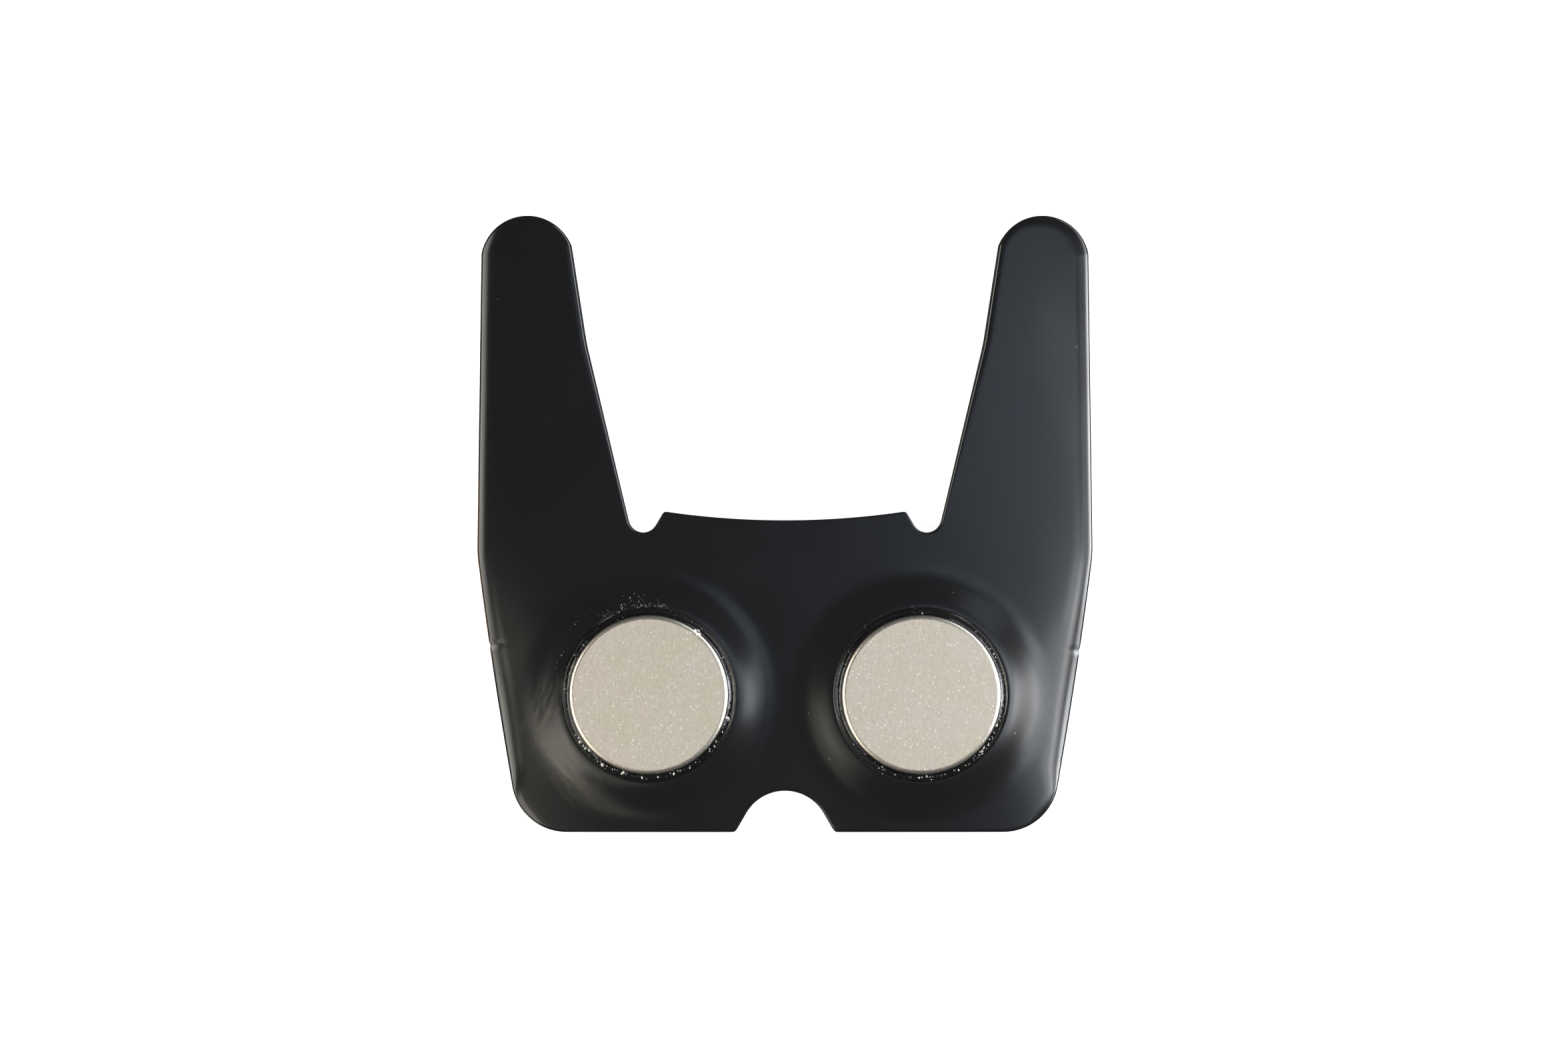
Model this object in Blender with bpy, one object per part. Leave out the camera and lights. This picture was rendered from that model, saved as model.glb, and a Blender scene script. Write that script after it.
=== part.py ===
"""Two-prong divot repair tool: a drawn sheet-steel plate with two magnets bonded into it.

Metres, +Z up. The tool lies on its back, so the plate's flat back is z = 0 and the magnets face up.
The prongs point to +Y, and the origin is under the middle of the plate.
The outline is drawn in millimetres as (x, h), where h is the height above the handle end.
"""
import math

import bmesh
import bpy
from mathutils import Vector

MM = 0.001

# Plate outline: right half, mirrored to make the left half
TAB_MIDDLE_H = 19.64          # the tab's edge sags to here in the middle
TAB_CORNER = (7.62, 20.2)
TAB_CORNER_RADIUS = 0.2
RELIEF_APEX = (9.315, 17.265)  # where the tab's side would meet the prong
RELIEF_RADIUS = 0.95
PRONG_BEND = (12.516, 30.78)  # the prong's inner edge turns a little here
PRONG_BEND_RADIUS = 12.0
TIP_CENTRE = (16.23, 35.85)
TIP_RADIUS = 2.98
TIP_INNER_ANGLE = 157.5       # degrees from +X, where the tip meets the inner edge
TIP_OUTER_ANGLE = 12.0
SHOULDER = (19.42, 17.36)     # widest place, where the sides start to taper
SHOULDER_RADIUS = 9.0
HEEL = (16.76, 0.0)           # virtual corner of the handle end
HEEL_RADIUS = 3.5
SIDE_BOW = 0.1                # outward bow of the tapered side
NOTCH_FOOT = (3.12, 0.0)      # thumb notch at the handle end
NOTCH_FOOT_RADIUS = 0.3
NOTCH_APEX_H = 5.404          # where the notch's two flares would meet
NOTCH_RADIUS = 2.8

# Rounded front edge, radius in each stretch of the outline
TAB_ROLL = 0.15
PRONG_ROLL = 0.3
SIDE_ROLL = 0.6
BASE_ROLL = 0.25
NOTCH_ROLL = 0.2
ROLL_STEPS = 3

# Sheet, bosses, magnets and adhesive
SHEET = 1.5
BOSS_X = 8.56
BOSS_H = 8.68
BOSS_RISE = 0.8
BOSS_CREST_RADIUS = 5.85
BOSS_TOE_RADIUS = 8.2
FLANK_STEPS = 6
SEAT_RADIUS = 5.45
SEAT_EDGE = 0.08              # edge break of the seat's rim
MAGNET_RADIUS = 5.0
MAGNET_THICKNESS = 2.0
MAGNET_PROUD = 0.2            # face above the boss's crest
MAGNET_EDGE = 0.3
EDGE_STEPS = 3
ADHESIVE_BED = 0.25           # thickness under the magnet
ADHESIVE_BELOW_CREST = 0.12   # top of the ring, below the crest
GAP = 0.04                    # clear gap between neighbouring solids
TURN_STEPS = 64
SHARP_ANGLE = math.radians(40)

LENGTH = TIP_CENTRE[1] + TIP_RADIUS
CREST = SHEET + BOSS_RISE
MAGNET_TOP = CREST + MAGNET_PROUD
MAGNET_BOTTOM = MAGNET_TOP - MAGNET_THICKNESS


def arc(centre, radius, start, end, steps):
    """Points along an arc; the angles are in degrees from +X."""
    angles = [math.radians(start + (end - start) * i / steps) for i in range(steps + 1)]
    return [Vector((centre[0] + radius * math.cos(a), centre[1] + radius * math.sin(a))) for a in angles]


def bowed(start, end, bulge, steps):
    """Points from start to end that bow sideways by bulge, leaving out both ends."""
    start, end = Vector(start), Vector(end)
    side = (end - start).orthogonal().normalized()
    shares = [i / steps for i in range(1, steps)]
    return [start.lerp(end, s) + side * bulge * 4 * s * (1 - s) for s in shares]


def fillet(before, corner, after, radius, steps):
    """Arc of the given radius that rounds the corner between two straight edges."""
    corner = Vector(corner)
    back = (Vector(before) - corner).normalized()
    onward = (Vector(after) - corner).normalized()
    half = back.angle(onward) / 2
    centre = corner + (back + onward).normalized() * radius / math.sin(half)
    first = (corner + back * radius / math.tan(half) - centre).normalized()
    last = (corner + onward * radius / math.tan(half) - centre).normalized()
    return [centre + first.slerp(last, i / steps) * radius for i in range(steps + 1)]


def right_half():
    """Outline from the middle of the tab to the middle of the notch, as (point, roll) pairs."""
    tip = arc(TIP_CENTRE, TIP_RADIUS, TIP_INNER_ANGLE, TIP_OUTER_ANGLE, 22)
    notch_apex = (0.0, NOTCH_APEX_H)
    tab_rise = TAB_CORNER[1] - TAB_MIDDLE_H
    tab_radius = (TAB_CORNER[0] ** 2 + tab_rise ** 2) / (2 * tab_rise)
    tab_sweep = math.degrees(math.asin(TAB_CORNER[0] / tab_radius))
    tab = arc((0.0, TAB_MIDDLE_H + tab_radius), tab_radius, -90, tab_sweep - 91, 8)
    shoulder = fillet(tip[-1], SHOULDER, HEEL, SHOULDER_RADIUS, 4)
    heel = fillet(SHOULDER, HEEL, NOTCH_FOOT, HEEL_RADIUS, 10)
    half_notch = fillet(NOTCH_FOOT, notch_apex, (-NOTCH_FOOT[0], 0.0), NOTCH_RADIUS, 16)[:9]
    stretches = [
        (tab, TAB_ROLL),
        (fillet(tab[-1], TAB_CORNER, RELIEF_APEX, TAB_CORNER_RADIUS, 3), TAB_ROLL),
        (fillet(TAB_CORNER, RELIEF_APEX, PRONG_BEND, RELIEF_RADIUS, 12), NOTCH_ROLL),
        (fillet(RELIEF_APEX, PRONG_BEND, tip[0], PRONG_BEND_RADIUS, 3), PRONG_ROLL),
        (tip[:8], PRONG_ROLL),
        (tip[8:], SIDE_ROLL),
        (shoulder, SIDE_ROLL),
        (bowed(shoulder[-1], heel[0], SIDE_BOW, 4), SIDE_ROLL),
        (heel[:6], SIDE_ROLL),
        (heel[6:], BASE_ROLL),
        (fillet(HEEL, NOTCH_FOOT, notch_apex, NOTCH_FOOT_RADIUS, 4), NOTCH_ROLL),
        (half_notch, NOTCH_ROLL),
    ]
    return [(point, roll) for points, roll in stretches for point in points]


def blended(rolls, passes=4):
    """Rolls averaged with their neighbours round the loop, so that one stretch eases into the next."""
    count = len(rolls)
    for _ in range(passes):
        rolls = [(rolls[i - 1] + rolls[i] + rolls[(i + 1) % count]) / 3 for i in range(count)]
    return rolls


def plate_outline():
    """The closed outline with its inward directions and rolls, clockwise seen from above."""
    half = right_half()
    left = [(Vector((-point.x, point.y)), roll) for point, roll in reversed(half[1:-1])]
    points = [point for point, _ in half + left]
    rolls = blended([roll for _, roll in half + left])
    inward = []
    for i, point in enumerate(points):
        before = (point - points[i - 1]).normalized()
        after = (points[(i + 1) % len(points)] - point).normalized()
        normals = Vector((before.y, -before.x)), Vector((after.y, -after.x))
        inward.append((normals[0] + normals[1]) / (1 + normals[0].dot(normals[1])))
    return points, inward, rolls


def add_loop(bm, points, heights):
    """New vertices at outline points, given in millimetres, each with its own height."""
    middle = LENGTH / 2
    return [bm.verts.new(Vector((p.x, p.y - middle, z)) * MM) for p, z in zip(points, heights)]


def turned_loops(bm, centre, profile):
    """One loop of vertices about a vertical axis for each (radius, height) of the profile."""
    loops = []
    for radius, height in profile:
        points = arc(centre, radius, 0, 360, TURN_STEPS)[:-1]
        loops.append(add_loop(bm, points, [height] * TURN_STEPS))
    return loops


def join_loops(bm, loops):
    """Quads between each loop and the next one."""
    for lower, upper in zip(loops, loops[1:]):
        count = len(lower)
        for i in range(count):
            j = (i + 1) % count
            bm.faces.new((lower[i], lower[j], upper[j], upper[i]))


def fill_between(bm, loops):
    """Triangles over a flat region bounded by an outer loop and the loops inside it."""
    edges = [bm.edges.get((loop[i - 1], loop[i])) for loop in loops for i in range(len(loop))]
    bmesh.ops.triangle_fill(bm, use_beauty=True, edges=edges)


def finish(bm, name, material):
    """Turn the bmesh into a named object with its material, shaded smooth but for sharp edges."""
    bmesh.ops.recalc_face_normals(bm, faces=bm.faces)
    mesh = bpy.data.meshes.new(name)
    bm.to_mesh(mesh)
    bm.free()
    mesh.materials.append(material)
    mesh.shade_smooth()
    mesh.set_sharp_from_angle(angle=SHARP_ANGLE)
    piece = bpy.data.objects.new(name, mesh)
    bpy.context.collection.objects.link(piece)
    return piece


def surface(name, color, roughness, metallic):
    """A plain Principled material."""
    material = bpy.data.materials.new(name)
    material.use_nodes = True
    shader = material.node_tree.nodes["Principled BSDF"]
    shader.inputs["Base Color"].default_value = (*color, 1.0)
    shader.inputs["Roughness"].default_value = roughness
    shader.inputs["Metallic"].default_value = metallic
    return material


def boss_height(radius):
    """Height of the drawn sheet above the flat: the crest, then a flank that eases out to the toe."""
    share = (radius - BOSS_CREST_RADIUS) / (BOSS_TOE_RADIUS - BOSS_CREST_RADIUS)
    share = min(max(share, 0.0), 1.0)
    return BOSS_RISE * (1 - share) ** 3 * (1 + 3 * share)


def boss_profile():
    """From the front toe up to the seat, down through it, and out to the toe on the back."""
    step = (BOSS_TOE_RADIUS - BOSS_CREST_RADIUS) / FLANK_STEPS
    radii = [BOSS_TOE_RADIUS - step * i for i in range(FLANK_STEPS + 1)]
    front = [(radius, SHEET + boss_height(radius)) for radius in radii]
    seat = [(SEAT_RADIUS + SEAT_EDGE, CREST), (SEAT_RADIUS, CREST - SEAT_EDGE), (SEAT_RADIUS, BOSS_RISE)]
    back = [(radius, boss_height(radius)) for radius in reversed(radii)]
    return front + seat + back


def fork_plate():
    """The sheet: a rolled rim round the outline, two drawn bosses, and flat faces between them."""
    bm = bmesh.new()
    points, inward, rolls = plate_outline()
    rim = [add_loop(bm, points, [0.0] * len(points))]
    for step in range(ROLL_STEPS + 1):
        turn = math.radians(90 * step / ROLL_STEPS)
        inset = [p + n * roll * (1 - math.cos(turn)) for p, n, roll in zip(points, inward, rolls)]
        rim.append(add_loop(bm, inset, [SHEET - roll * (1 - math.sin(turn)) for roll in rolls]))
    join_loops(bm, rim)
    bosses = [turned_loops(bm, (side * BOSS_X, BOSS_H), boss_profile()) for side in (-1, 1)]
    for loops in bosses:
        join_loops(bm, loops)
    fill_between(bm, [rim[-1]] + [loops[0] for loops in bosses])
    fill_between(bm, [rim[0]] + [loops[-1] for loops in bosses])
    return finish(bm, "fork_plate", surface("black_paint", (0.011, 0.011, 0.013), 0.38, 0.0))


def turned_piece(name, side, profile, material):
    """A solid turned about a boss's axis, closed by flat discs at the ends of its profile."""
    bm = bmesh.new()
    loops = turned_loops(bm, (side * BOSS_X, BOSS_H), profile)
    join_loops(bm, loops)
    bm.faces.new(loops[0])
    bm.faces.new(loops[-1])
    return finish(bm, name, material)


def magnet_profile():
    """Disc with both edges rounded."""
    turns = [math.radians(90 * i / EDGE_STEPS) for i in range(EDGE_STEPS + 1)]
    inner = MAGNET_RADIUS - MAGNET_EDGE
    lower = [
        (inner + MAGNET_EDGE * math.sin(a), MAGNET_BOTTOM + MAGNET_EDGE * (1 - math.cos(a)))
        for a in turns
    ]
    upper = [(radius, MAGNET_TOP + MAGNET_BOTTOM - height) for radius, height in reversed(lower)]
    return lower + upper


def adhesive_profile():
    """Cup of adhesive that beds the magnet and fills the ring round it."""
    outer = SEAT_RADIUS - GAP
    inner = MAGNET_RADIUS + GAP
    top = CREST - ADHESIVE_BELOW_CREST
    floor = MAGNET_BOTTOM - GAP
    return [(outer, floor - ADHESIVE_BED), (outer, top - GAP), (inner, top), (inner, floor)]


def main():
    for old in list(bpy.data.objects):
        bpy.data.objects.remove(old)
    fork_plate()
    nickel = surface("nickel_plate", (0.60, 0.57, 0.49), 0.42, 1.0)
    adhesive = surface("black_adhesive", (0.006, 0.006, 0.006), 0.12, 0.0)
    for word, side in (("left", -1), ("right", 1)):
        turned_piece(f"{word}_magnet", side, magnet_profile(), nickel)
        turned_piece(f"{word}_adhesive", side, adhesive_profile(), adhesive)


main()
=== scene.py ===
import bpy
import numpy as np
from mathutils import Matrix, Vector
from mathutils.geometry import delaunay_2d_cdt


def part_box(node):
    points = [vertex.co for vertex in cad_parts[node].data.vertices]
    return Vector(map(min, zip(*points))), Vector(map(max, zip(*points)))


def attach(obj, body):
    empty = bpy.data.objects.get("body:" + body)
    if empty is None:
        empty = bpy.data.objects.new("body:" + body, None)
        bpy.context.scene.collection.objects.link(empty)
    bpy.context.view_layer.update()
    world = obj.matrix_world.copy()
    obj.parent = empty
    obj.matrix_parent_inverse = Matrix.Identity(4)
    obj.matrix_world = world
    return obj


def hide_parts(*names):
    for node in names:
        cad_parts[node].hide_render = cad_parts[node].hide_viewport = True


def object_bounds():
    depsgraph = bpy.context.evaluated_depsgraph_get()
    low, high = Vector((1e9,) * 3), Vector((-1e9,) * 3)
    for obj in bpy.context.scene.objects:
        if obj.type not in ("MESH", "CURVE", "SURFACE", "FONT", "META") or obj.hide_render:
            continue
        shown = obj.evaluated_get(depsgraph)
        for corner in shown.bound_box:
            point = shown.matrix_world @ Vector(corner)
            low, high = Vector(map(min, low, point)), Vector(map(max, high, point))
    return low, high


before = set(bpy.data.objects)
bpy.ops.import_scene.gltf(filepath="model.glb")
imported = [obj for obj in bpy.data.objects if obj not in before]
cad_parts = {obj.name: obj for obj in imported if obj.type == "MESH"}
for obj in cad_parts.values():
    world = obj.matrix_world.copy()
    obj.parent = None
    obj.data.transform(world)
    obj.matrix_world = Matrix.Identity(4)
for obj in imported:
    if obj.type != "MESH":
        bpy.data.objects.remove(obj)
cadLow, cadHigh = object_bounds()
mm = 0.001

# helpers for node trees

def feed(tree, node, inputs):
    # each named input of a node is linked to a socket or set to a value
    for key, value in inputs.items():
        if isinstance(value, bpy.types.NodeSocket):
            tree.links.new(value, node.inputs[key])
        else:
            node.inputs[key].default_value = value


def addNode(tree, kind, inputs=None, **settings):
    # one node: settings are its properties, inputs are sockets to link or values to set
    made = tree.nodes.new("ShaderNode" + kind)
    for key, value in settings.items():
        setattr(made, key, value)
    feed(tree, made, inputs or {})
    return made


def maths(tree, operation, *values):
    # one Math node and its result
    return addNode(tree, "Math", dict(enumerate(values)), operation=operation).outputs[0]


def remap(tree, value, low, high, newLow, newHigh):
    # smooth step from newLow at low to newHigh at high
    inputs = {"Value": value, "From Min": low, "From Max": high, "To Min": newLow, "To Max": newHigh}
    return addNode(tree, "MapRange", inputs, interpolation_type="SMOOTHSTEP").outputs[0]


def mixColor(tree, share, first, second):
    # blend of two colours by share
    return addNode(tree, "Mix", {0: share, 6: first, 7: second}, data_type="RGBA").outputs[2]


def addNoise(tree, place, scale, detail):
    # the value of a noise at each place
    return addNode(tree, "TexNoise", {"Vector": place, "Scale": scale, "Detail": detail}).outputs[0]


def stretch(tree, place, scales):
    # a place multiplied by its own number along each axis
    return addNode(tree, "VectorMath", {0: place, 1: scales}, operation="MULTIPLY").outputs[0]


def newGroup(name, inputs, outputs):
    # an empty shader group with named sockets; every input is (name, kind, value)
    group = bpy.data.node_groups.new(name, "ShaderNodeTree")
    for label, kind, value in inputs:
        socket = group.interface.new_socket(name=label, in_out="INPUT", socket_type="NodeSocket" + kind)
        if value is not None:
            socket.default_value = value
    for label in outputs:
        group.interface.new_socket(name=label, in_out="OUTPUT", socket_type="NodeSocketFloat")
    return group, group.nodes.new("NodeGroupInput").outputs, group.nodes.new("NodeGroupOutput").inputs


def useGroup(tree, group, place, inputs):
    # puts a group in a material at a place, and sets or links its other inputs
    made = tree.nodes.new("ShaderNodeGroup")
    made.node_tree = group
    feed(tree, made, {"Place": place, **inputs})
    return made.outputs


def grainGroup():
    # noise of one grain size: Height for bump, and Shade centred on zero for colour and roughness
    inputs = [("Place", "Vector", None), ("Size", "Float", 0.3), ("Detail", "Float", 3.0)]
    group, given, result = newGroup("fineGrain", inputs, ["Height", "Shade"])
    scale = maths(group, "DIVIDE", 1.0, given["Size"])
    noise = addNoise(group, given["Place"], scale, given["Detail"])
    group.links.new(noise, result["Height"])
    group.links.new(maths(group, "SUBTRACT", noise, 0.5), result["Shade"])
    return group


def speckGroup():
    # scattered round specks: a share of the cells holds one speck each, of its own radius, with a soft rim
    smallest, variety, softRim = 0.4, 0.8, 0.6  # radii run from 0.4 to 1.2 times Radius
    inputs = [("Place", "Vector", None), ("Spacing", "Float", 1.0), ("Radius", "Float", 0.1),
              ("Share", "Float", 0.3)]
    group, given, result = newGroup("scatteredSpecks", inputs, ["Mask"])
    scale = maths(group, "DIVIDE", 1.0, given["Spacing"])
    cells = addNode(group, "TexVoronoi", {"Vector": given["Place"], "Scale": scale}).outputs
    luck = addNode(group, "SeparateColor", {"Color": cells["Color"]}).outputs
    shown = maths(group, "LESS_THAN", luck[0], given["Share"])
    factor = maths(group, "MULTIPLY_ADD", luck[1], variety, smallest)
    size = maths(group, "MULTIPLY", given["Radius"], factor)
    away = maths(group, "MULTIPLY", cells["Distance"], given["Spacing"])
    inside = maths(group, "SUBTRACT", size, away)
    soft = maths(group, "DIVIDE", inside, maths(group, "MULTIPLY", size, softRim))
    clipped = addNode(group, "Clamp", {"Value": soft}).outputs[0]
    group.links.new(maths(group, "MULTIPLY", clipped, shown), result["Mask"])
    return group


def scratchGroup():
    # hair scratches along one direction: the ridges of a noise stretched that way, kept in patches
    ridgeFoot, ridgeTop = 0.62, 0.72                    # noise values over which a ridge turns into a hair
    patchScale, patchTop, patchFade = 0.35, 0.85, 0.15  # a patch starts at patchTop less Cover
    inputs = [("Place", "Vector", None), ("Angle", "Float", 0.0), ("Width", "Float", 0.05),
              ("Length", "Float", 2.0), ("Cover", "Float", 0.4)]
    group, given, result = newGroup("hairScratches", inputs, ["Mask"])
    turned = addNode(group, "VectorRotate", {"Vector": given["Place"], "Angle": given["Angle"]},
                     rotation_type="Z_AXIS").outputs[0]
    across = maths(group, "DIVIDE", 1.0, given["Width"])
    along = maths(group, "DIVIDE", 1.0, given["Length"])
    sizes = addNode(group, "CombineXYZ", {0: along, 1: across, 2: along}).outputs[0]
    hairs = addNoise(group, stretch(group, turned, sizes), 1.0, 2.0)
    patches = addNoise(group, given["Place"], patchScale, 1.0)
    line = remap(group, hairs, ridgeFoot, ridgeTop, 0.0, 1.0)
    limit = maths(group, "SUBTRACT", patchTop, given["Cover"])
    kept = remap(group, maths(group, "SUBTRACT", patches, limit), 0.0, patchFade, 0.0, 1.0)
    group.links.new(maths(group, "MULTIPLY", line, kept), result["Mask"])
    return group


def wearGroup():
    # rubbed edges: shown where Edge, swung up and down by noise, passes Start
    swing, fade = 0.5, 0.12
    inputs = [("Place", "Vector", None), ("Edge", "Float", 0.0), ("Start", "Float", 0.8),
              ("Size", "Float", 0.4)]
    group, given, result = newGroup("edgeWear", inputs, ["Mask"])
    scale = maths(group, "DIVIDE", 1.0, given["Size"])
    noise = addNoise(group, given["Place"], scale, 4.0)
    lowest = maths(group, "SUBTRACT", given["Edge"], swing / 2)
    excess = maths(group, "SUBTRACT", maths(group, "MULTIPLY_ADD", noise, swing, lowest), given["Start"])
    group.links.new(remap(group, excess, 0.0, fade, 0.0, 1.0), result["Mask"])
    return group


def sheenSmearGroup():
    # a patch for the smears and their painted highlight: streaks of noise along one direction, in an oval
    # that fades out from its centre
    streakScale, ovalScale = (0.55, 3.2, 1.0), (1.0, 1.7, 1.0)  # along the smear, across it, upwards
    streakFoot, streakTop, fadeStart = 0.36, 0.74, 0.2          # noise values, and share of Reach
    inputs = [("Place", "Vector", None), ("Centre", "Vector", (0.0, 0.0, 0.0)), ("Reach", "Float", 2.0),
              ("Angle", "Float", 0.0)]
    group, given, result = newGroup("sheenSmearPatch", inputs, ["Mask"])
    local = addNode(group, "VectorMath", {0: given["Place"], 1: given["Centre"]},
                    operation="SUBTRACT").outputs[0]
    turned = addNode(group, "VectorRotate", {"Vector": local, "Angle": given["Angle"]},
                     rotation_type="Z_AXIS").outputs[0]
    streaks = addNoise(group, stretch(group, turned, streakScale), 1.0, 3.0)
    oval = stretch(group, turned, ovalScale)
    away = addNode(group, "VectorMath", {0: oval}, operation="LENGTH").outputs["Value"]
    fade = remap(group, maths(group, "DIVIDE", away, given["Reach"]), fadeStart, 1.0, 1.0, 0.0)
    shown = remap(group, streaks, streakFoot, streakTop, 0.0, 1.0)
    group.links.new(maths(group, "MULTIPLY", shown, fade), result["Mask"])
    return group


fineGrain = grainGroup()
scatteredSpecks = speckGroup()
hairScratches = scratchGroup()
edgeWear = wearGroup()
sheenSmearPatch = sheenSmearGroup()
print("shared effects built")


def startMaterial(name):
    # a Principled material, its shader's inputs, and Object coordinates in millimetres
    material = bpy.data.materials.new(name)
    material.use_nodes = True
    tree = material.node_tree
    shader = tree.nodes["Principled BSDF"].inputs
    place = addNode(tree, "TexCoord").outputs["Object"]
    return material, tree, shader, stretch(tree, place, (1000.0, 1000.0, 1000.0))


def addBump(tree, shader, height, depth, under=None):
    # bump of a given depth in metres, over another bump if there is one
    inputs = {"Height": height, "Strength": 1.0, "Distance": depth}
    if under is not None:
        inputs["Normal"] = under
    normal = addNode(tree, "Bump", inputs).outputs[0]
    tree.links.new(normal, shader["Normal"])
    return normal


# helpers for meshes

def gridFaces(rows):
    # quads between each row of vertex numbers and the next; every row is a closed loop
    here, onward = rows, np.roll(rows, -1, axis=1)
    return np.stack([here[:-1], here[1:], onward[1:], onward[:-1]], axis=-1).reshape(-1, 4)


def fanFaces(loop, pole):
    # triangles from a closed loop of vertex numbers to one pole
    return np.column_stack([loop, np.full(len(loop), pole), np.roll(loop, -1)])


def makePiece(name, points, faces, material, slotName, smooth=True, **attributes):
    # one mesh object in metres with its material, and a float attribute for each array given by name
    mesh = bpy.data.meshes.new(name)
    mesh.from_pydata(points.reshape(-1, 3).tolist(), [], [face for part in faces for face in part.tolist()])
    if smooth:
        mesh.shade_smooth()
    mesh.materials.append(material)
    for label, values in attributes.items():
        attribute = mesh.attributes.new(label, "FLOAT", "POINT")
        attribute.data.foreach_set("value", values.astype(np.float32).ravel())
    piece = bpy.data.objects.new(name, mesh)
    bpy.context.scene.collection.objects.link(piece)
    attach(piece, "root")
    return piece


def turnedGrid(centre, radii, heights, count):
    # a profile turned about a vertical axis: one row of points for each radius and height
    angle = np.linspace(0, 2 * np.pi, count, endpoint=False)
    radii, heights = np.broadcast_arrays(np.atleast_2d(radii).T, np.atleast_2d(heights).T)
    x = centre[0] + radii * np.cos(angle)
    y = centre[1] + radii * np.sin(angle)
    return np.stack(np.broadcast_arrays(x, y, heights), axis=-1)


def waves(place, seed, lowest, highest, count=24):
    # soft noise between about -1 and 1: a sum of cosines in random directions,
    # with wavelengths from lowest to highest, in the units of place
    luck = np.random.default_rng(seed)
    length = np.exp(luck.uniform(np.log(lowest), np.log(highest), count))
    heading = luck.normal(size=(count, place.shape[-1]))
    heading *= (2 * np.pi / length / np.linalg.norm(heading, axis=1))[:, None]
    phase = luck.uniform(0, 2 * np.pi, count)
    return np.cos(place @ heading.T + phase).sum(axis=-1) / np.sqrt(count)


# the fork plate: outline in mm as (x, height above the handle end), right half

plate = {
    "sheet": 1.74,                     # thickness in the middle, where the face stands highest
    "tabMiddle": 19.64, "tabCorner": (7.62, 20.2), "tabRadius": 0.2,
    "reliefApex": (9.315, 17.265), "reliefRadius": 0.95,
    "prongBend": (12.516, 30.78), "prongBendRadius": 12.0,
    "tipCentre": (16.23, 35.85), "tipRadius": 2.98, "tipAngles": (157.5, 12.0),
    "shoulder": (19.42, 17.36), "shoulderRadius": 9.0,
    "heel": (16.76, 0.0), "heelRadius": 3.5, "sideBow": 0.1,
    "notchFoot": (3.12, 0.0), "notchFootRadius": 0.3,
    "notchApex": 5.404, "notchRadius": 2.8,
    # front edge of each stretch: radius of its rounding, width and steepest slope of its soft fall
    "tabEdge": (0.12, 0.18, 0.0), "reliefEdge": (0.14, 0.2, 0.0), "prongEdge": (0.2, 0.7, 0.33),
    "tipEdge": (0.15, 1.0, 0.38), "sideEdge": (0.14, 1.5, 0.56), "heelEdge": (0.14, 0.9, 0.40),
    "baseEdge": (0.2, 0.27, 0.0), "notchEdge": (0.18, 0.26, 0.0),
    "fallPower": 3.2, "fallSpread": 1.3,  # how soon a fall is over; how its points crowd to the edge
    "leastFall": 0.04, "edgeSmoothing": (6, 4), "inwardSmoothing": 8,  # smoothing in points each way
    "backEdge": 0.08, "wallWear": 0.3,
    "spacing": 0.12,                   # distance between points along the outline
    "rollSteps": 8, "fallSteps": 8, "wallSteps": 3, "backSteps": 3, "sideSteps": 39,
    "nicks": ((-18.62, 11.75), (18.6, 11.4)), "nickSize": 0.16, "nickDepth": 0.07,
    "nickSharpening": 0.75, "nickSpread": 2.2,  # the rounding is tighter beside a nick
    "crestRadius": 5.43, "toeRadius": 8.45, "rise": 0.46,
    "inwardLoss": 0.08, "inwardPower": 1.5, "inwardStart": 5.0, "inwardWidth": 2.5,
    "seatRadius": 5.45, "seatEdge": 0.08, "seatSteps": 4,
    "crown": 0.45, "crownPower": 4.8,  # how far the outer sides fall
    "skirt": 0.54, "skirtStart": 12.8, "skirtHeight": 7.2, "skirtReach": 6.3,  # and more beside the bosses
    "skirtLimit": 1.05,
    "unevenness": 0.004, "waveSeed": 3, "waveLengths": (4.0, 14.0),
    "ringRadius": 7.4, "ringCount": 256, "ringSteps": 26,
    "lattice": 0.3,                    # spacing of the points that fill the flat faces
}

plateLow, plateHigh = (np.array(corner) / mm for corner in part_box("fork_plate"))
magnetBoxes = {side: [np.array(c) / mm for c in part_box(side + "_magnet")] for side in ("left", "right")}
bossCentres = {side: (low[:2] + high[:2]) / 2 for side, (low, high) in magnetBoxes.items()}
bossCrest = plate["sheet"] + plate["rise"]


def arcPoints(centre, radius, start, end):
    # points on a circle from one angle to another, in degrees, a spacing apart
    turn = np.radians(end - start)
    count = max(int(abs(turn) * radius / plate["spacing"]), 3)
    angle = np.radians(start) + np.linspace(0, turn, count)
    return np.column_stack([centre[0] + radius * np.cos(angle), centre[1] + radius * np.sin(angle)])


def cornerArc(before, corner, after, radius):
    # the arc of that radius that touches both straight edges of a corner
    before, corner, after = (np.array(point, float) for point in (before, corner, after))
    back, onward = before - corner, after - corner
    back /= np.linalg.norm(back)
    onward /= np.linalg.norm(onward)
    half = np.arccos(back @ onward) / 2
    middle = back + onward
    centre = corner + middle / np.linalg.norm(middle) * radius / np.sin(half)
    first = corner + back * radius / np.tan(half) - centre
    last = corner + onward * radius / np.tan(half) - centre
    start = np.degrees(np.arctan2(first[1], first[0]))
    end = np.degrees(np.arctan2(last[1], last[0]))
    turn = (end - start + 180) % 360 - 180
    return arcPoints(centre, radius, start, start + turn)


def bowedLine(start, end, bulge):
    # a straight run that bows sideways by a parabola of that height
    share = np.linspace(0, 1, plate["sideSteps"] + 1)[1:-1, None]
    along = np.array(end) - np.array(start)
    side = np.array([-along[1], along[0]]) / np.linalg.norm(along)
    return np.array(start) + along * share + side * bulge * 4 * share * (1 - share)


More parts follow.
